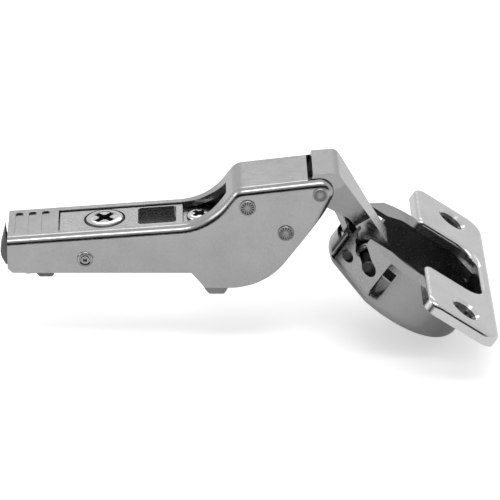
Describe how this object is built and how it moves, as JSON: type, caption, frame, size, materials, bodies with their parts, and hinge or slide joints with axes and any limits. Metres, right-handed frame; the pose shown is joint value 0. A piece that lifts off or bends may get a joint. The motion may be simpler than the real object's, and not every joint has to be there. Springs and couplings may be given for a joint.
{
  "type": "concealed cup hinge",
  "caption": "Cranked concealed cabinet hinge: pressed cup with a fixing plate, linked to a clip-on arm with adjustment screws and a rear catch.",
  "frame": {"origin": "centre of the carrier's flat underside, where it rests on the mounting plate", "axes": "+X along the arm towards the cup, +Y across the arm, +Z away from the cabinet side the arm is clipped to"},
  "size_m": [0.1099, 0.0584, 0.0407],
  "materials": {
    "nickel_sheet": "satin nickel plate",
    "pin_steel": "matt steel with knurled ends",
    "screw_steel": "bright nickel plate",
    "hook_steel": "dark steel",
    "dark_plastic": "matt with a grain",
    "spring_steel": "oiled wire"
  },
  "bodies": {
    "arm": {"arm_shell": "nickel_sheet", "front_pin": "pin_steel", "spacer_rivet": "pin_steel", "link_axle": "pin_steel", "catch_pin": "pin_steel", "carrier": "nickel_sheet", "front_hook": "nickel_sheet", "catch_spring": "spring_steel"},
    "depth_adjuster": {"depth_screw": "screw_steel", "depth_cam": "screw_steel"},
    "side_adjuster": {"side_screw": "screw_steel"},
    "catch": {"rear_catch": "hook_steel", "release_button": "dark_plastic"},
    "link_outer": {"outer_link": "nickel_sheet"},
    "cup": {"cup_plate": "nickel_sheet", "cup_pot": "nickel_sheet", "stub_pin_near": "pin_steel", "stub_pin_far": "pin_steel", "cross_pin": "pin_steel", "cup_spring_near": "spring_steel", "cup_spring_far": "spring_steel"},
    "link_inner": {"inner_link": "nickel_sheet"}
  },
  "joints": [
    {"name": "arm_pivot", "type": "hinge", "parent": "arm", "child": "link_outer", "pos_m": [0.0422, 0, 0.01206], "axis": [0, -1, 0], "range_deg": [-31.2, 0]},
    {"name": "fold", "type": "hinge", "parent": "link_outer", "child": "cup", "pos_m": [0.0531, 0, -0.0039], "axis": [0, -1, 0], "range_deg": [0, 154.75]},
    {"name": "inner_pivot", "type": "hinge", "parent": "cup", "child": "link_inner", "pos_m": [0.04866, 0, -0.00333], "axis": [0, -1, 0], "range_deg": [-139.6, 0]},
    {"name": "depth_turn", "type": "hinge", "parent": "arm", "child": "depth_adjuster", "pos_m": [-0.00521, 0, -0.00041], "axis": [-0.0781, 0, 0.9969], "continuous": true},
    {"name": "side_turn", "type": "hinge", "parent": "arm", "child": "side_adjuster", "pos_m": [0.01592, 0, 0.00125], "axis": [-0.0781, 0, 0.9969], "continuous": true},
    {"name": "catch_release", "type": "hinge", "parent": "arm", "child": "catch", "pos_m": [-0.00967, 0, -0.0038], "axis": [0, 1, 0], "range_deg": [0, 5], "stiffness_Nm_per_rad": 0.05, "springref_deg": -8.59}
  ],
  "couplings": [
    {"joint": "arm_pivot", "follows": "fold", "ratio": -0.2},
    {"joint": "inner_pivot", "follows": "fold", "ratio": -0.9}
  ]
}
